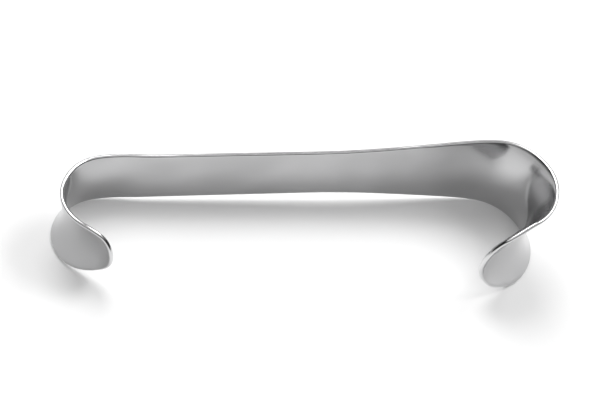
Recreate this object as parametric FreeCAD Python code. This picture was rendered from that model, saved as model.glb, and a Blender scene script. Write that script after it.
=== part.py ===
# Double-ended hand-held retractor, formed from one flat strip of stainless steel.
# A straight flat handle turns round at each end into a hook, and each hook ends in
# a saddle blade with a lip that curls outward. One blade is large, the other small.
# The strip is modelled with the handle along X and its width along Z, so that the
# hooks lie in the XY plane and open toward -Y. It is then laid on its long edges,
# the way it comes to rest, with its base centre at the origin. Units are millimetres.

import FreeCAD, Part
import math
import os

Vector = FreeCAD.Vector
UP = Vector(0, 0, 1)

# Driving dimensions: cell alias, value, meaning. Turns are in degrees. Lengths
# called before and after are measured along the strip from where a bend starts.
SIZES = [
    ("strip_thickness", 1.5, "thickness of the strip"),
    ("edge_break", 0.45, "how far the strip's corners are broken back"),
    ("handle_width", 21.0, "width of the flat handle"),
    ("handle_run", 109.4, "straight length between the two bends"),
    ("large_lead_radius", 47.0, "gentle arc where the handle starts to bend"),
    ("large_lead_turn", 18.5, "turn of that arc"),
    ("large_bend_radius", 15.0, "tighter arc over the corner of the hook"),
    ("large_bend_turn", 45.0, "turn of that arc"),
    ("large_close_radius", 17.5, "arc that brings the blade back inward"),
    ("large_close_turn", 88.0, "turn of that arc"),
    ("large_straight", 11.0, "straight part of the blade"),
    ("large_lip_radius", 11.7, "arc of the lip, which curls outward"),
    ("large_lip_turn", 29.2, "turn of that arc"),
    ("large_blade_width", 34.3, "widest part of the blade"),
    ("large_flare_before", 47.0, "where the handle starts to widen"),
    ("large_flare_after", 43.5, "where the strip has its full width"),
    ("large_dish", 5.7, "how far the middle of the blade lies inside its edges"),
    ("large_dish_before", 0.0, "where the strip starts to dish"),
    ("large_dish_after", 40.0, "where the dish has its full depth"),
    ("large_lip_dish", 7.8, "depth of the dish at the end of the lip"),
    ("large_round_length", 21.5, "length of the rounded end of the blade"),
    ("small_lead_radius", 50.0, "gentle arc where the handle starts to bend"),
    ("small_lead_turn", 14.5, "turn of that arc"),
    ("small_bend_radius", 18.2, "arc over the corner of the hook"),
    ("small_bend_turn", 56.6, "turn of that arc"),
    ("small_close_radius", 12.1, "arc that brings the blade back inward"),
    ("small_close_turn", 70.9, "turn of that arc"),
    ("small_straight", 6.0, "straight part of the blade"),
    ("small_lip_radius", 10.0, "arc of the lip, which curls outward"),
    ("small_lip_turn", 34.0, "turn of that arc"),
    ("small_blade_width", 22.4, "widest part of the blade"),
    ("small_flare_before", 11.0, "where the handle starts to widen"),
    ("small_flare_after", 27.0, "where the strip has its full width"),
    ("small_dish", 2.3, "how far the middle of the blade lies inside its edges"),
    ("small_dish_before", 5.0, "where the strip starts to dish"),
    ("small_dish_after", 23.0, "where the dish has its full depth"),
    ("small_lip_dish", 1.5, "depth of the dish at the end of the lip"),
    ("small_round_length", 15.0, "length of the rounded end of the blade"),
]

# Spacing of the cross-sections along the strip, how many round each blade's end,
# the smallest half-width of the last one, and where its face is set out.
SECTION_STEP = 3.8
ROUND_STEPS = 8
LAST_HALF = 0.6
FACE_SHARES = (-1.0, -0.6, -0.2, 0.2, 0.6, 1.0)


def ease(share):
    """Smooth step from 0 to 1."""
    share = min(max(share, 0.0), 1.0)
    return share * share * (3.0 - 2.0 * share)


class Hook:
    """One end of the strip: its side profile, width and dish along the strip.

    s is the length along the strip's middle line, 0 where the bend starts and
    negative on the handle. side is +1 for the end at +X and -1 for the other.
    """

    def __init__(self, size, name, side):
        self.side = side
        self.start = size("handle_run") / 2.0
        self.thickness = size("strip_thickness")
        self.edge_break = size("edge_break")
        self.handle_half = size("handle_width") / 2.0
        self.blade_half = size(name + "_blade_width") / 2.0
        self.flare_from = -size(name + "_flare_before")
        self.flare_to = size(name + "_flare_after")
        self.dish = size(name + "_dish")
        self.dish_from = -size(name + "_dish_before")
        self.dish_to = size(name + "_dish_after")
        self.lip_dish = size(name + "_lip_dish")
        self.round_length = size(name + "_round_length")
        self.runs = []
        self.length = 0.0
        point, heading = Vector(self.start, 0, 0), 0.0
        arcs = (
            (size(name + "_lead_radius"), -size(name + "_lead_turn")),
            (size(name + "_bend_radius"), -size(name + "_bend_turn")),
            (size(name + "_close_radius"), -size(name + "_close_turn")),
            (None, size(name + "_straight")),
            (size(name + "_lip_radius"), size(name + "_lip_turn")),
        )
        for radius, amount in arcs:
            if radius is None:
                run = (self.length, point, heading, 0.0)
                step = amount
            else:
                run = (self.length, point, heading, math.copysign(1.0 / radius, amount))
                step = radius * math.radians(abs(amount))
            self.runs.append(run)
            point, heading = self.along(run, step)
            self.length += step
        self.lip_from = self.runs[3][0]

    @staticmethod
    def along(run, step):
        """Point and heading a step along a straight or an arc of the profile."""
        _, point, heading, bend = run
        if bend == 0.0:
            return point + Vector(math.cos(heading), math.sin(heading), 0) * step, heading
        turned = heading + bend * step
        centre = point + Vector(-math.sin(heading), math.cos(heading), 0) * (1.0 / bend)
        return centre + Vector(math.sin(turned), -math.cos(turned), 0) * (1.0 / bend), turned

    def middle(self, s):
        """Point on the middle line and the outward normal of the strip there."""
        if s <= 0.0:
            point, heading = Vector(self.start + s, 0, 0), 0.0
        else:
            run = [r for r in self.runs if r[0] <= s][-1]
            point, heading = self.along(run, s - run[0])
        normal = Vector(-math.sin(heading) * self.side, math.cos(heading), 0)
        return Vector(point.x * self.side, point.y, 0), normal

    def full_half(self, s):
        """Half the strip's width before its end is rounded."""
        share = ease((s - self.flare_from) / (self.flare_to - self.flare_from))
        return self.handle_half + (self.blade_half - self.handle_half) * share

    def half(self, s):
        """Half the strip's width, with the blade's end rounded as half an ellipse."""
        share = (s - (self.length - self.round_length)) / self.round_length
        share = min(max(share, 0.0), 1.0)
        return self.full_half(s) * math.sqrt(1.0 - share * share)

    def dish_depth(self, s):
        """Depth of the dish across the strip's full width."""
        depth = self.dish * ease((s - self.dish_from) / (self.dish_to - self.dish_from))
        fade = ease((s - self.lip_from) / (self.length - self.lip_from))
        return depth + (self.lip_dish - self.dish) * fade

    def rail(self, s, z):
        """Point of the strip's middle surface at height z, and its unit normal."""
        point, normal = self.middle(s)
        depth = self.dish_depth(s)
        full = self.full_half(s)
        slope = 2.0 * depth * z / full ** 2
        return point + normal * (depth * (z / full) ** 2) + UP * z, (normal - UP * slope).normalize()

    def section(self, s):
        """Closed outline of the strip's cross-section, with its corners broken."""
        thick = self.thickness / 2.0
        half = max(self.half(s), LAST_HALF)
        flat = half - self.edge_break

        def face(sign):
            points = []
            for share in FACE_SHARES:
                point, normal = self.rail(s, sign * share * flat)
                points.append(point + normal * (sign * thick))
            if self.dish_depth(s) == 0.0:
                return Part.LineSegment(points[0], points[-1]).toShape(), points
            curve = Part.BSplineCurve()
            curve.interpolate(Points=points, Parameters=[(share + 1.0) / 2.0 for share in FACE_SHARES])
            return curve.toShape(), points

        def edge(sign, start, end):
            point, normal = self.rail(s, sign * half)
            offset = normal * (sign * (thick - self.edge_break))
            corners = [start, point + offset, point - offset, end]
            return [Part.LineSegment(p, q).toShape() for p, q in zip(corners, corners[1:])]

        outer, outer_points = face(1.0)
        inner, inner_points = face(-1.0)
        top = edge(1.0, outer_points[-1], inner_points[0])
        bottom = edge(-1.0, inner_points[-1], outer_points[0])
        return Part.Wire([outer] + top + [inner] + bottom)

    def spans(self):
        """Places of the cross-sections, in one list for each smooth stretch."""
        body_end = self.length - self.round_length
        least = SECTION_STEP / 2.0
        breaks = [self.flare_from]
        for place in sorted(run[0] for run in self.runs):
            if place - breaks[-1] > least and body_end - place > least:
                breaks.append(place)
        breaks.append(body_end)
        lists = []
        for start, end in zip(breaks, breaks[1:]):
            steps = max(2, int(math.ceil((end - start) / SECTION_STEP)))
            lists.append([start + (end - start) * k / steps for k in range(steps + 1)])
        last = math.sqrt(1.0 - (LAST_HALF / self.blade_half) ** 2)
        turns = [math.pi / 2.0 * k / ROUND_STEPS for k in range(ROUND_STEPS + 1)]
        lists.append([body_end + self.round_length * last * math.sin(turn) for turn in turns])
        return lists

    def skin(self):
        """Faces of this end's skin, and the outlines at its two ends."""
        faces = []
        first = wire = self.section(self.flare_from)
        for places in self.spans():
            wires = [wire] + [self.section(s) for s in places[1:]]
            faces += Part.makeLoft(wires, False, False).Faces
            wire = wires[-1]
        return faces, first, wire

    def lower_rim(self):
        """Lowest points of the strip along its lower edge."""
        points = []
        for places in self.spans():
            for s in places:
                points.append(self.rail(s, -self.half(s))[0])
        return points


def resting_normal(feet, balance):
    """Upward normal of the floor that the strip settles on.

    Of all planes through three feet that pass below every foot, it is the one
    whose three feet stand round the balance point.
    """
    slack = 1e-6
    for i in range(len(feet)):
        for j in range(i + 1, len(feet)):
            for k in range(j + 1, len(feet)):
                a, b, c = feet[i], feet[j], feet[k]
                normal = (b - a).cross(c - a)
                if normal.Length < 1.0:
                    continue
                normal = normal.normalize()
                if normal.z < 0:
                    normal = normal * -1.0
                if normal.z < 0.9 or not surrounds(a, b, c, balance):
                    continue
                if all((foot - a).dot(normal) > -slack for foot in feet):
                    return normal
    raise RuntimeError("the strip has no way to rest on its lower edge")


def surrounds(a, b, c, point):
    """True where the point lies over the triangle abc, seen from above."""
    turns = []
    for start, end in ((a, b), (b, c), (c, a)):
        turns.append((end.x - start.x) * (point.y - start.y) - (end.y - start.y) * (point.x - start.x))
    return all(turn >= 0 for turn in turns) or all(turn <= 0 for turn in turns)


def laid_down(shape, feet):
    """Placement that rests the shape on the floor with its base centre at the origin."""
    normal = resting_normal(feet, shape.CenterOfMass)
    turn = FreeCAD.Rotation(normal, UP)
    points = [turn.multVec(v) for v in shape.tessellate(0.02)[0]]
    low = Vector(min(p.x for p in points), min(p.y for p in points), min(p.z for p in points))
    high = Vector(max(p.x for p in points), max(p.y for p in points), max(p.z for p in points))
    centre = (low + high) * 0.5
    return FreeCAD.Placement(Vector(-centre.x, -centre.y, -low.z), turn)


def make_sheet(doc):
    """Spreadsheet with one row for each driving dimension."""
    sheet = doc.addObject("Spreadsheet::Sheet", "sizes")
    sheet.Label = "sizes"
    for row, (alias, value, meaning) in enumerate(SIZES, start=1):
        sheet.set("A%d" % row, alias)
        sheet.set("B%d" % row, str(value))
        sheet.setAlias("B%d" % row, alias)
        sheet.set("C%d" % row, meaning)
    doc.recompute()
    return sheet


def make_retractor(doc, sheet):
    """The formed strip: lofts through its cross-sections, joined from blade to blade."""
    def size(alias):
        return float(getattr(sheet, alias))

    large, small = Hook(size, "large", 1.0), Hook(size, "small", -1.0)
    large_faces, large_start, large_tip = large.skin()
    small_faces, small_start, small_tip = small.skin()
    handle = small_start.extrude(large.middle(large.flare_from)[0] - small.middle(small.flare_from)[0]).Faces
    ends = [Part.Face(large_tip), Part.Face(small_tip)]
    shell = Part.makeShell(large_faces + small_faces + handle + ends)
    shell.sewShape()
    strip = Part.Solid(shell)
    if strip.Volume < 0:
        strip.reverse()
    feature = doc.addObject("Part::Feature", "retractor")
    feature.Label = "retractor"
    feature.Shape = strip
    feature.Placement = laid_down(strip, small.lower_rim() + large.lower_rim())
    return feature


def check(doc, parts):
    for thing in doc.Objects:
        if "Invalid" in thing.State or "Error" in thing.State:
            raise RuntimeError(thing.Label + " did not compute")
    for part in parts:
        if part.Shape.isNull() or not part.Shape.isValid() or len(part.Shape.Solids) != 1:
            raise RuntimeError(part.Label + " is not one valid solid")


def main():
    doc = FreeCAD.newDocument("retractor")
    sheet = make_sheet(doc)
    parts = [make_retractor(doc, sheet)]
    doc.recompute()
    check(doc, parts)
    os.makedirs("parts", exist_ok=True)
    for part in parts:
        part.Shape.exportStep(os.path.join("parts", part.Label + ".step"))
        box = part.Shape.BoundBox
        print(part.Label, "volume %.1f mm3," % part.Shape.Volume, "box", box)


main()
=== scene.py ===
"""Looks of a double-ended hand-held retractor: a bent strip of polished steel."""
import math

import bmesh
import bpy
import numpy as np
from bpy.props import FloatProperty, FloatVectorProperty, IntProperty, PointerProperty
from bpy.types import Operator, Panel, PropertyGroup
from mathutils import Matrix


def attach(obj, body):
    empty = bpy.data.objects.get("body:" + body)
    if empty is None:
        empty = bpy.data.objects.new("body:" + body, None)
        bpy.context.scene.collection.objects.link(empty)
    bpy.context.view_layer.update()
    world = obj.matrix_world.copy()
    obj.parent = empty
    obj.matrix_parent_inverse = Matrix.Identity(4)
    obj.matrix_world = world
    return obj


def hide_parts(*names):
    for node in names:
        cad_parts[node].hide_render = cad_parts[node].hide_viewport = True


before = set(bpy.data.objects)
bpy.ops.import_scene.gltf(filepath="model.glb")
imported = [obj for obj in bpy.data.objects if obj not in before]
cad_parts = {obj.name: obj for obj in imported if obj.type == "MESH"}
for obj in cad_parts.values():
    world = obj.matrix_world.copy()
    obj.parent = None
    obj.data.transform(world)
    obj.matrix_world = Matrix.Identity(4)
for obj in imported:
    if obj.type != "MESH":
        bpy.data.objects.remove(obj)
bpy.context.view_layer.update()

bl_info = {
    "name": "Double-ended retractor",
    "version": (1, 0, 0),
    "blender": (4, 5, 0),
    "location": "View3D > Sidebar > Retractor",
    "description": "Builds a bent steel retractor with two saddle blades, and its stage",
    "category": "Add Mesh",
}

MM = 0.001
SENSOR_WIDTH_MM = 36.0

# Each hook's sizes in millimetres and degrees: name, large hook, small hook, meaning.
HOOK_SIZES = (
    ("lead_radius", 47.0, 50.0, "Gentle arc where the handle starts to bend"),
    ("lead_turn", 18.5, 14.5, "Turn of the gentle arc"),
    ("bend_radius", 15.0, 18.2, "Arc over the corner of the hook"),
    ("bend_turn", 45.0, 56.6, "Turn of the arc over the corner"),
    ("close_radius", 17.5, 12.1, "Arc that brings the blade back inward"),
    ("close_turn", 88.0, 70.9, "Turn of the arc that brings the blade back"),
    ("straight", 11.0, 6.0, "Straight part of the blade"),
    ("lip_radius", 11.7, 10.0, "Arc of the lip, which curls outward"),
    ("lip_turn", 29.2, 34.0, "Turn of the lip"),
    ("blade_width", 34.3, 22.4, "Widest part of the blade"),
    ("flare_before", 47.0, 11.0, "Where the handle starts to widen, before the bend"),
    ("flare_after", 43.5, 27.0, "Where the strip has its full width, after the bend starts"),
    ("dish", 5.7, 2.3, "How far the middle of the blade lies inside its edges"),
    ("dish_before", 0.0, 5.0, "Where the strip starts to dish, before the bend"),
    ("dish_after", 40.0, 23.0, "Where the dish has its full depth"),
    ("lip_dish", 7.8, 1.5, "Depth of the dish at the end of the lip"),
    ("round_length", 21.5, 15.0, "Length of the rounded end of the blade"),
)


def size_property(name, value, meaning):
    """A length in metres, or a turn in radians, with its default."""
    label = name.replace("_", " ").capitalize()
    if name.endswith("_turn"):
        return FloatProperty(
            name=label, description=meaning, default=math.radians(value), subtype="ANGLE")
    return FloatProperty(
        name=label, description=meaning, default=value * MM, unit="LENGTH", precision=4)


class LargeHookSizes(PropertyGroup):
    """Sizes of the hook with the large blade"""

    __annotations__ = {
        name: size_property(name, large, text) for name, large, _, text in HOOK_SIZES}


class SmallHookSizes(PropertyGroup):
    """Sizes of the hook with the small blade"""

    __annotations__ = {
        name: size_property(name, small, text) for name, _, small, text in HOOK_SIZES}


class RetractorSettings(PropertyGroup):
    """Sizes, finish and view that a user would change"""

    large: PointerProperty(type=LargeHookSizes)
    small: PointerProperty(type=SmallHookSizes)
    thickness: FloatProperty(
        name="Thickness", description="Thickness of the strip",
        default=1.5 * MM, unit="LENGTH", precision=4)
    handle_width: FloatProperty(
        name="Handle width", description="Width of the flat handle",
        default=21.0 * MM, unit="LENGTH", precision=4)
    handle_run: FloatProperty(
        name="Handle run", description="Straight length between the two bends",
        default=109.4 * MM, unit="LENGTH", precision=4)
    rest_tilt: FloatProperty(
        name="Rest tilt", description="How far the strip leans when it lies on its long edges",
        default=math.radians(2.544), subtype="ANGLE")
    rest_heading: FloatProperty(
        name="Rest heading", description="Direction of the level line that it leans about",
        default=math.radians(228.6), subtype="ANGLE")
    station_step: FloatProperty(
        name="Station step", description="Spacing of the mesh along the strip",
        default=0.6 * MM, unit="LENGTH", precision=4)
    face_cells: IntProperty(
        name="Face cells", description="Cells across each broad face", default=36)
    edge_cells: IntProperty(
        name="Edge cells", description="Cells round each rolled edge", default=10)
    steel_colour: FloatVectorProperty(
        name="Steel", description="Colour of the satin faces",
        default=(0.51, 0.51, 0.515), subtype="COLOR", size=3, min=0.0, max=1.0)
    edge_colour: FloatVectorProperty(
        name="Polished edge", description="Colour of the polished edges",
        default=(0.72, 0.72, 0.725), subtype="COLOR", size=3, min=0.0, max=1.0)
    floor_colour: FloatVectorProperty(
        name="Floor", description="Colour of the floor",
        default=(0.93, 0.93, 0.93), subtype="COLOR", size=3, min=0.0, max=1.0)
    view_azimuth: FloatProperty(
        name="View azimuth", description="Turn of the view about the upright axis",
        default=math.radians(-26.81), subtype="ANGLE")
    view_elevation: FloatProperty(
        name="View elevation", description="Height of the view above the strip's middle plane",
        default=math.radians(48.0), subtype="ANGLE")
    view_roll: FloatProperty(
        name="View roll", description="Roll of the picture",
        default=math.radians(19.08), subtype="ANGLE")
    view_distance: FloatProperty(
        name="View distance", description="Distance from the camera to the strip",
        default=0.76835, unit="LENGTH")
    view_shift: FloatVectorProperty(
        name="View shift",
        description="How far the view's aim lies right and up of the handle's middle",
        default=(0.00274, -0.00918), subtype="TRANSLATION", unit="LENGTH", size=2)
    lens: FloatProperty(
        name="Lens", description="Focal length in millimetres", default=137.0)


# The mesh: reach of the differences that give the normals, how much denser the rings
# are on the blades' rounded ends, the distances within which points and edges fall
# together, and the length in metres that one unit of the UV map covers.
NORMAL_REACH = 0.01 * MM
ROUND_DENSITY = 1.3
MERGE_DISTANCE = 0.004 * MM
COLLAPSE_DISTANCE = 0.001 * MM
UV_SPAN = 0.2

# The steel: roughness of the satin grain, its slow drift, roughness of the polished
# edge, where the edge's mask sets in, how the grain is stretched along the strip, and
# the scale and detail of each noise, with the middle part of it that is used. Waves
# are a slow unevenness of the surface. The same wave noise also darkens the base
# colour by a small share in slow patches: painted reflection, dark blotches that stand
# in for dark surroundings mirrored in the steel.
STEEL_ROUGHNESS = (0.13, 0.20)
ROUGHNESS_DRIFT = (-0.02, 0.03)
EDGE_ROUGHNESS = 0.14
EDGE_MASK = (0.1, 0.7)
GRAIN_STRETCH = (6.0, 260.0, 1.0)
GRAIN_NOISE = (3.0, 4.0)
CLOUD_NOISE = (60.0, 3.0)
SPECK_NOISE = (2500.0, 2.0)
WAVE_AND_REFLECTION_NOISE = (42.0, 1.0)
NOISE_MIDDLE = (0.3, 0.7)
PAINTED_REFLECTION_MIDDLE = (0.35, 0.65)
SPECK_STRENGTH = 0.25
SPECK_HEIGHT = 0.01 * MM
WAVE_HEIGHT = 0.7 * MM
# Painted reflection: the largest share that the wave noise takes off the base colour, in slow dark
# blotches that stand in for dark reflections.
PAINTED_REFLECTION_DARKENING = 0.14

# The stage: half the floor's side, and how much of the floor's white is its own.
FLOOR_HALF = 3.0
FLOOR_OWN_WHITE = 0.06

# Brightness of the surroundings by height, where 0 is level and 1 is overhead: a pale
# band along the horizon, a dark one above it and a bright one higher up.
SKY_LEVELS = (
    (0.01, 0.85),
    (0.09, 0.78),
    (0.12, 0.02),
    (0.54, 0.03),
    (0.66, 1.00),
    (0.82, 0.95),
    (0.99, 0.20),
)

# Lamps: name, place, side of the square and power in watts. They face the origin.
LAMPS = (
    ("key", (-0.15, 0.52, 0.75), 0.60, 5.2),
    ("second", (0.50, 0.25, 0.70), 0.40, 3.4),
)


def ease(share):
    """Smooth step from 0 to 1: 3 x^2 - 2 x^3 with x held between 0 and 1."""
    share = np.clip(share, 0.0, 1.0)
    return share * share * (3.0 - 2.0 * share)


class HookSurface:
    """One half of the strip, from the handle's middle (X = 0) to the blade's end.

    The middle line is a straight handle, three arcs that turn toward -Y, a straight
    and a lip arc that turns back. s is the length along it, 0 where the bend starts.
    A point of the middle surface at height z is the middle line's point, plus its
    outward normal times dish * (z / half-width)^2, plus z upward.
    """

    def __init__(self, settings, hook, side):
        self.side = side
        self.hook = hook
        self.start = settings.handle_run / 2.0
        self.radius = settings.thickness / 2.0
        self.handle_half = settings.handle_width / 2.0
        bends = (
            (hook.lead_radius, -hook.lead_turn),
            (hook.bend_radius, -hook.bend_turn),
            (hook.close_radius, -hook.close_turn),
            (None, hook.straight),
            (hook.lip_radius, hook.lip_turn),
        )
        lengths = [amount if radius is None else radius * abs(amount) for radius, amount in bends]
        self.curvature = [0.0 if radius is None else math.copysign(1.0 / radius, amount)
                          for radius, amount in bends]
        self.breaks = np.concatenate([[0.0], np.cumsum(lengths)])
        self.length = self.breaks[-1]

    def middle(self, s):
        """Points and headings of the middle line: each run starts where the last one ends."""
        x, y = self.start + np.minimum(s, 0.0), np.zeros_like(s)
        heading = np.zeros_like(s)
        for start, end, bend in zip(self.breaks, self.breaks[1:], self.curvature):
            step = np.clip(s - start, 0.0, end - start)
            turned = heading + bend * step
            if bend == 0.0:
                x, y = x + step * np.cos(heading), y + step * np.sin(heading)
            else:
                x = x + (np.sin(turned) - np.sin(heading)) / bend
                y = y - (np.cos(turned) - np.cos(heading)) / bend
            heading = turned
        return x * self.side, y, heading

    def width(self, s):
        """Half-width before the blade's end is rounded: it eases from handle to blade."""
        span = self.hook.flare_after + self.hook.flare_before
        share = ease((s + self.hook.flare_before) / span)
        return self.handle_half + (self.hook.blade_width / 2.0 - self.handle_half) * share

    def dish(self, s):
        """Dish depth: eases in over the bend, and out again toward the lip's end."""
        span = self.hook.dish_after + self.hook.dish_before
        depth = self.hook.dish * ease((s + self.hook.dish_before) / span)
        lip_from = self.breaks[3]
        lip_share = ease((s - lip_from) / (self.length - lip_from))
        return depth + (self.hook.lip_dish - self.hook.dish) * lip_share

    def surface(self, s, z):
        """Points of the middle surface at length s and height z."""
        x, y, heading = self.middle(s)
        lift = self.dish(s) * (z / self.width(s)) ** 2
        x = x - self.side * np.sin(heading) * lift
        return np.stack([x, y + np.cos(heading) * lift, z], axis=-1)

    def normal(self, s, z):
        """Unit normals of the middle surface on the handle's back side, by differences."""
        along = self.surface(s + NORMAL_REACH, z) - self.surface(s - NORMAL_REACH, z)
        across = self.surface(s, z + NORMAL_REACH) - self.surface(s, z - NORMAL_REACH)
        cross = np.cross(across, along) * self.side
        return cross / np.linalg.norm(cross, axis=-1, keepdims=True)

    def stations(self, step):
        """Lengths s of the cross-sections and their round-off angles, 0 on the body."""
        body_end = self.length - self.hook.round_length
        body = np.linspace(-self.start, body_end, int((self.start + body_end) / step) + 1)
        count = int(ROUND_DENSITY * self.hook.round_length / step)
        angle = np.linspace(0.0, math.pi / 2.0, count)[1:]
        reach = self.hook.round_length - self.radius
        s = np.concatenate([body, body_end + reach * np.sin(angle)])
        return s, np.concatenate([np.zeros_like(body), angle])

    def rings(self, step, face_cells, edge_cells):
        """Rings of points round the strip, one for each station.

        The inner outline lies half a thickness inside the real one, and ends in half
        an ellipse. Each ring runs over the back face between its two edges, round a
        half circle at the top edge, over the front face, and round one at the bottom
        edge. The half circles face outward from the outline, so the edge is rolled
        evenly all round the blade's end.
        """
        s, angle = self.stations(step)
        flat = self.width(s) - self.radius
        slope = np.gradient(flat, s) * np.cos(angle)
        reach = self.hook.round_length - self.radius
        out_s = np.where(angle > 0.0, np.sin(angle) / reach, -slope / flat)
        out_z = np.cos(angle) / flat
        size = np.hypot(out_s, out_z)
        out_s, out_z = out_s / size, out_z / size
        half = flat * np.cos(angle)

        share = np.linspace(-1.0, 1.0, face_cells + 1)
        turn = np.linspace(math.pi / 2.0, -math.pi / 2.0, edge_cells + 1)[1:-1]
        flat_share = np.concatenate([share, np.ones_like(turn), share[::-1], -np.ones_like(turn)])
        lift = np.concatenate([
            np.ones_like(share), np.sin(turn), -np.ones_like(share), -np.sin(turn)])
        outward = np.concatenate([0 * share, np.cos(turn), 0 * share, np.cos(turn)])

        base_s = s[:, None] + 0 * flat_share
        base_z = half[:, None] * flat_share
        shift_s = base_s + self.radius * out_s[:, None] * outward
        shift_z = base_z + self.radius * out_z[:, None] * outward * np.sign(flat_share)
        thick = self.normal(base_s, base_z) * (self.radius * lift)[None, :, None]
        points = self.surface(shift_s, shift_z) + thick
        edge = np.broadcast_to(outward, base_s.shape)
        return points, edge, np.stack([base_s + self.start, base_z], axis=-1)


def rest_rotation(settings):
    """Rotation about a level line that lays the strip on its long edges (Rodrigues' formula)."""
    level = np.array([math.cos(settings.rest_heading), math.sin(settings.rest_heading), 0.0])
    cross = np.array([
        [0.0, -level[2], level[1]],
        [level[2], 0.0, -level[0]],
        [-level[1], level[0], 0.0],
    ])
    turn = settings.rest_tilt
    return np.eye(3) + math.sin(turn) * cross + (1.0 - math.cos(turn)) * (cross @ cross)


def strip_grid(settings):
    """Closed grid of the whole strip in its own frame: the small half reversed, then the large."""
    parts = []
    for hook, side in ((settings.small, -1.0), (settings.large, 1.0)):
        half = HookSurface(settings, hook, side)
        points, edge, flat = half.rings(
            settings.station_step, settings.face_cells, settings.edge_cells)
        parts.append((points, edge, flat * np.array([side, 1.0])))
    small, large = parts
    return [np.concatenate([a[::-1], b[1:]]) for a, b in zip(small, large)]


def lay_down(points, settings):
    """Points in the row's frame: turned to rest, with the base centre at the origin."""
    laid = points @ rest_rotation(settings).T
    low, high = laid.reshape(-1, 3).min(axis=0), laid.reshape(-1, 3).max(axis=0)
    shift = np.array([-(low[0] + high[0]) / 2.0, -(low[1] + high[1]) / 2.0, -low[2]])
    return laid + shift, shift


def quads(rows, columns):
    """Faces between neighbouring rings, each ring closed on itself."""
    row, column = np.meshgrid(np.arange(rows - 1), np.arange(columns), indexing="ij")
    after = (column + 1) % columns
    corners = [row * columns + column, row * columns + after,
               (row + 1) * columns + after, (row + 1) * columns + column]
    return np.stack(corners, axis=-1).reshape(-1, 4)


def build_strip_mesh(settings):
    """Mesh of the strip with a UV map along it and a mask of its rolled edges."""
    points, edge, flat = strip_grid(settings)
    rows, columns = edge.shape
    laid, _ = lay_down(points, settings)
    mesh = bpy.data.meshes.new("retractor_strip")
    faces = quads(rows, columns)
    mesh.from_pydata(laid.reshape(-1, 3), [], faces)
    uv_layer = mesh.uv_layers.new(name="strip")
    corner_vertices = np.empty(len(mesh.loops), dtype=np.int32)
    mesh.loops.foreach_get("vertex_index", corner_vertices)
    scaled = flat.reshape(-1, 2) / UV_SPAN + 0.5
    uv_layer.data.foreach_set("uv", scaled[corner_vertices].astype(np.float32).ravel())
    mask = mesh.attributes.new("edge", "FLOAT", "POINT")
    mask.data.foreach_set("value", edge.astype(np.float32).ravel())
    mesh.polygons.foreach_set("use_smooth", np.ones(len(faces), dtype=bool))
    mesh.update()
    return mesh


def close_mesh(mesh):
    """Merges the doubled points at the two blade ends and turns all faces outward."""
    body = bmesh.new()
    body.from_mesh(mesh)
    bmesh.ops.remove_doubles(body, verts=body.verts, dist=MERGE_DISTANCE)
    bmesh.ops.dissolve_degenerate(body, edges=body.edges, dist=COLLAPSE_DISTANCE)
    bmesh.ops.recalc_face_normals(body, faces=body.faces)
    if body.calc_volume(signed=True) < 0.0:
        bmesh.ops.reverse_faces(body, faces=body.faces)
    loose = [edge for edge in body.edges if len(edge.link_faces) != 2]
    body.to_mesh(mesh)
    body.free()
    if loose:
        raise RuntimeError("the strip's mesh has %d open edges" % len(loose))


class Nodes:
    """Short calls that add and join shader nodes."""

    def __init__(self, tree):
        self.tree = tree
        tree.nodes.clear()

    def add(self, kind, **values):
        node = self.tree.nodes.new(kind)
        for name, value in values.items():
            setattr(node, name, value)
        return node

    def join(self, source, target):
        self.tree.links.new(source, target)

    def noise(self, vector, scale, detail):
        node = self.add("ShaderNodeTexNoise")
        node.inputs["Scale"].default_value = scale
        node.inputs["Detail"].default_value = detail
        self.join(vector, node.inputs["Vector"])
        return node.outputs["Fac"]

    def spread(self, value, start, end, low, high):
        """Maps start..end of the value to low..high, and holds it there outside."""
        node = self.add("ShaderNodeMapRange")
        node.inputs["From Min"].default_value = start
        node.inputs["From Max"].default_value = end
        node.inputs["To Min"].default_value = low
        node.inputs["To Max"].default_value = high
        self.join(value, node.inputs["Value"])
        return node.outputs["Result"]

    def bump(self, height, strength, distance):
        node = self.add("ShaderNodeBump")
        node.inputs["Strength"].default_value = strength
        node.inputs["Distance"].default_value = distance
        self.join(height, node.inputs["Height"])
        return node


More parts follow.
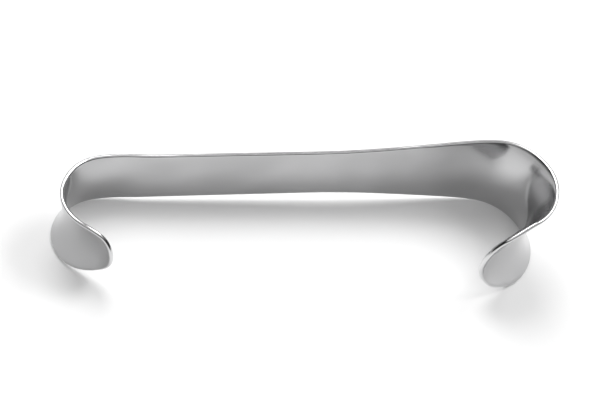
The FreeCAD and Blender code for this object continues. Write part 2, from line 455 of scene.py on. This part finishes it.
def steel_material(settings):
    """Stainless steel: satin faces with a fine grain along the strip, and polished edges.

    Its noises lie on the object's own coordinates, and the grain on the strip's UV map.
    The slow wave noise gives a real bump, and also paints reflection: darker blotches
    in the base colour that stand in for dark reflections.
    """
    material = bpy.data.materials.new("retractor_steel")
    material.use_nodes = True
    nodes = Nodes(material.node_tree)
    output = nodes.add("ShaderNodeOutputMaterial")
    shader = nodes.add("ShaderNodeBsdfPrincipled")
    shader.inputs["Metallic"].default_value = 1.0
    nodes.join(shader.outputs["BSDF"], output.inputs["Surface"])

    mask = nodes.add("ShaderNodeAttribute", attribute_name="edge")
    edge = nodes.spread(mask.outputs["Fac"], *EDGE_MASK, 0.0, 1.0)
    uv = nodes.add("ShaderNodeUVMap", uv_map="strip")
    stretch = nodes.add("ShaderNodeMapping")
    stretch.inputs["Scale"].default_value = GRAIN_STRETCH
    nodes.join(uv.outputs["UV"], stretch.inputs["Vector"])
    place = nodes.add("ShaderNodeTexCoord")
    grain = nodes.noise(stretch.outputs["Vector"], *GRAIN_NOISE)
    cloud = nodes.noise(place.outputs["Object"], *CLOUD_NOISE)
    speck = nodes.noise(place.outputs["Object"], *SPECK_NOISE)
    wave_and_painted_reflection = nodes.noise(place.outputs["Object"], *WAVE_AND_REFLECTION_NOISE)

    tone = nodes.add("ShaderNodeMix", data_type="RGBA")
    tone.inputs["A"].default_value = (*settings.steel_colour, 1.0)
    tone.inputs["B"].default_value = (*settings.edge_colour, 1.0)
    nodes.join(edge, tone.inputs["Factor"])
    painted_reflection_tone = nodes.add("ShaderNodeMix", data_type="RGBA", blend_type="MULTIPLY")
    painted_reflection_tone.inputs["Factor"].default_value = 1.0
    nodes.join(tone.outputs["Result"], painted_reflection_tone.inputs["A"])
    # Painted reflection: the wave noise darkens the base colour in slow blotches that stand in for
    # dark reflections.
    nodes.join(nodes.spread(wave_and_painted_reflection, *PAINTED_REFLECTION_MIDDLE, 1.0 - PAINTED_REFLECTION_DARKENING, 1.0), painted_reflection_tone.inputs["B"])
    nodes.join(painted_reflection_tone.outputs["Result"], shader.inputs["Base Color"])

    rough = nodes.add("ShaderNodeMath", operation="ADD")
    nodes.join(nodes.spread(grain, *NOISE_MIDDLE, *STEEL_ROUGHNESS), rough.inputs[0])
    nodes.join(nodes.spread(cloud, *NOISE_MIDDLE, *ROUGHNESS_DRIFT), rough.inputs[1])
    polished = nodes.add("ShaderNodeMix", data_type="FLOAT")
    polished.inputs["B"].default_value = EDGE_ROUGHNESS
    nodes.join(edge, polished.inputs["Factor"])
    nodes.join(rough.outputs["Value"], polished.inputs["A"])
    nodes.join(polished.outputs["Result"], shader.inputs["Roughness"])

    waves = nodes.bump(wave_and_painted_reflection, 1.0, WAVE_HEIGHT)
    specks = nodes.bump(speck, SPECK_STRENGTH, SPECK_HEIGHT)
    nodes.join(waves.outputs["Normal"], specks.inputs["Normal"])
    nodes.join(specks.outputs["Normal"], shader.inputs["Normal"])
    return material


def background_rays(nodes):
    """1 for camera, glossy and transmission rays, 0 for the rays that light the object."""
    path = nodes.add("ShaderNodeLightPath")
    total = path.outputs["Is Camera Ray"]
    for kind in ("Is Glossy Ray", "Is Transmission Ray"):
        added = nodes.add("ShaderNodeMath", operation="ADD", use_clamp=True)
        nodes.join(total, added.inputs[0])
        nodes.join(path.outputs[kind], added.inputs[1])
        total = added.outputs["Value"]
    return total


def floor_material(settings):
    """White floor: part of its own brightness, part lit, so that it keeps a soft shadow."""
    material = bpy.data.materials.new("white_floor")
    material.use_nodes = True
    nodes = Nodes(material.node_tree)
    output = nodes.add("ShaderNodeOutputMaterial")
    lit = nodes.add("ShaderNodeBsdfDiffuse")
    lit.inputs["Color"].default_value = (*settings.floor_colour, 1.0)
    glow = nodes.add("ShaderNodeEmission")
    glow.inputs["Color"].default_value = (1.0, 1.0, 1.0, 1.0)
    glow.inputs["Strength"].default_value = 1.0
    mix = nodes.add("ShaderNodeMixShader")
    share = nodes.add("ShaderNodeMath", operation="MULTIPLY")
    share.inputs[1].default_value = FLOOR_OWN_WHITE
    nodes.join(background_rays(nodes), share.inputs[0])
    nodes.join(share.outputs["Value"], mix.inputs["Fac"])
    nodes.join(lit.outputs["BSDF"], mix.inputs[1])
    nodes.join(glow.outputs["Emission"], mix.inputs[2])
    nodes.join(mix.outputs["Shader"], output.inputs["Surface"])
    return material


class RETRACTOR_OT_strip(Operator):
    """Build the bent strip with its two blades and give it its steel"""

    bl_idname = "retractor.strip"
    bl_label = "Bent strip"

    def execute(self, context):
        settings = context.scene.retractor
        mesh = build_strip_mesh(settings)
        close_mesh(mesh)
        piece = bpy.data.objects.new("retractor_strip", mesh)
        context.scene.collection.objects.link(piece)
        mesh.materials.append(steel_material(settings))
        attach(piece, "root")
        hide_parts("retractor")
        return {"FINISHED"}


def add_floor(context, settings):
    """Large plain floor under the object."""
    half = FLOOR_HALF
    corners = [(-half, -half, 0), (half, -half, 0), (half, half, 0), (-half, half, 0)]
    mesh = bpy.data.meshes.new("floor")
    mesh.from_pydata(corners, [], [(0, 1, 2, 3)])
    floor = bpy.data.objects.new("floor", mesh)
    context.scene.collection.objects.link(floor)
    mesh.materials.append(floor_material(settings))


def add_lamp(context, name, place, size, power):
    """Soft square lamp that faces the origin."""
    light = bpy.data.lights.new(name, "AREA")
    light.shape = "SQUARE"
    light.size = size
    light.energy = power
    lamp = bpy.data.objects.new(name, light)
    lamp.matrix_world = facing_matrix(place, np.array(place), np.array([0.0, 0.0, 1.0]))
    context.scene.collection.objects.link(lamp)


def facing_matrix(place, back, up):
    """Matrix of a camera or lamp at a place, whose -Z looks away from back."""
    back = back / np.linalg.norm(back)
    right = np.cross(up, back)
    right = right / np.linalg.norm(right)
    top = np.cross(back, right)
    columns = np.stack([right, top, back, np.array(place)], axis=1)
    return Matrix([list(row) for row in columns] + [[0.0, 0.0, 0.0, 1.0]])


def add_camera(context, settings):
    """Camera at the photograph's angle, carried from the strip's frame into the row's."""
    points = strip_grid(settings)[0]
    _, shift = lay_down(points, settings)
    turn = rest_rotation(settings)
    azimuth, elevation, roll = settings.view_azimuth, settings.view_elevation, settings.view_roll
    back = np.array([
        math.sin(azimuth) * math.cos(elevation),
        -math.cos(azimuth) * math.cos(elevation),
        math.sin(elevation),
    ])
    level = np.array([math.cos(azimuth), math.sin(azimuth), 0.0])
    upright = np.cross(back, level)
    right = math.cos(roll) * level + math.sin(roll) * upright
    up = -math.sin(roll) * level + math.cos(roll) * upright
    place = back * settings.view_distance
    place = place + right * settings.view_shift[0] + up * settings.view_shift[1]
    camera_data = bpy.data.cameras.new("view")
    camera_data.sensor_width = SENSOR_WIDTH_MM
    camera_data.lens = settings.lens
    camera = bpy.data.objects.new("view", camera_data)
    camera.matrix_world = facing_matrix(turn @ place + shift, turn @ back, turn @ up)
    context.scene.collection.objects.link(camera)
    context.scene.camera = camera


def set_world(context):
    """Studio surroundings: a ramp of grey levels over the height that a ray looks up to."""
    world = bpy.data.worlds.new("studio")
    world.use_nodes = True
    context.scene.world = world
    nodes = Nodes(world.node_tree)
    output = nodes.add("ShaderNodeOutputWorld")
    background = nodes.add("ShaderNodeBackground")
    place = nodes.add("ShaderNodeTexCoord")
    split = nodes.add("ShaderNodeSeparateXYZ")
    nodes.join(place.outputs["Generated"], split.inputs["Vector"])
    ramp = nodes.add("ShaderNodeValToRGB")
    for position, level in SKY_LEVELS:
        element = ramp.color_ramp.elements.new(position)
        element.color = (level, level, level, 1.0)
    ramp.color_ramp.elements.remove(ramp.color_ramp.elements[-1])
    ramp.color_ramp.elements.remove(ramp.color_ramp.elements[0])
    nodes.join(split.outputs["Z"], ramp.inputs["Fac"])
    nodes.join(ramp.outputs["Color"], background.inputs["Color"])
    background.inputs["Strength"].default_value = 1.0
    nodes.join(background.outputs["Background"], output.inputs["Surface"])


class RETRACTOR_OT_stage(Operator):
    """Set the floor, the soft studio light and the camera"""

    bl_idname = "retractor.stage"
    bl_label = "Stage"

    def execute(self, context):
        settings = context.scene.retractor
        add_floor(context, settings)
        for name, place, size, power in LAMPS:
            add_lamp(context, name, place, size, power)
        set_world(context)
        add_camera(context, settings)
        context.scene.view_settings.view_transform = "Standard"
        return {"FINISHED"}


class RETRACTOR_PT_panel(Panel):
    """Sidebar panel with the retractor's steps and settings"""

    bl_idname = "RETRACTOR_PT_panel"
    bl_label = "Retractor"
    bl_space_type = "VIEW_3D"
    bl_region_type = "UI"
    bl_category = "Retractor"

    def draw(self, context):
        layout = self.layout
        settings = context.scene.retractor
        for operator in (RETRACTOR_OT_strip, RETRACTOR_OT_stage):
            layout.operator(operator.bl_idname)
        for name in ("thickness", "handle_width", "handle_run",
                     "steel_colour", "edge_colour", "floor_colour"):
            layout.prop(settings, name)


CLASSES = (
    LargeHookSizes,
    SmallHookSizes,
    RetractorSettings,
    RETRACTOR_OT_strip,
    RETRACTOR_OT_stage,
    RETRACTOR_PT_panel,
)


def register():
    for cls in CLASSES:
        bpy.utils.register_class(cls)
    bpy.types.Scene.retractor = PointerProperty(type=RetractorSettings)


def unregister():
    del bpy.types.Scene.retractor
    for cls in reversed(CLASSES):
        bpy.utils.unregister_class(cls)


def main():
    register()
    bpy.ops.retractor.strip()
    bpy.ops.retractor.stage()


if __name__ == "__main__":
    main()
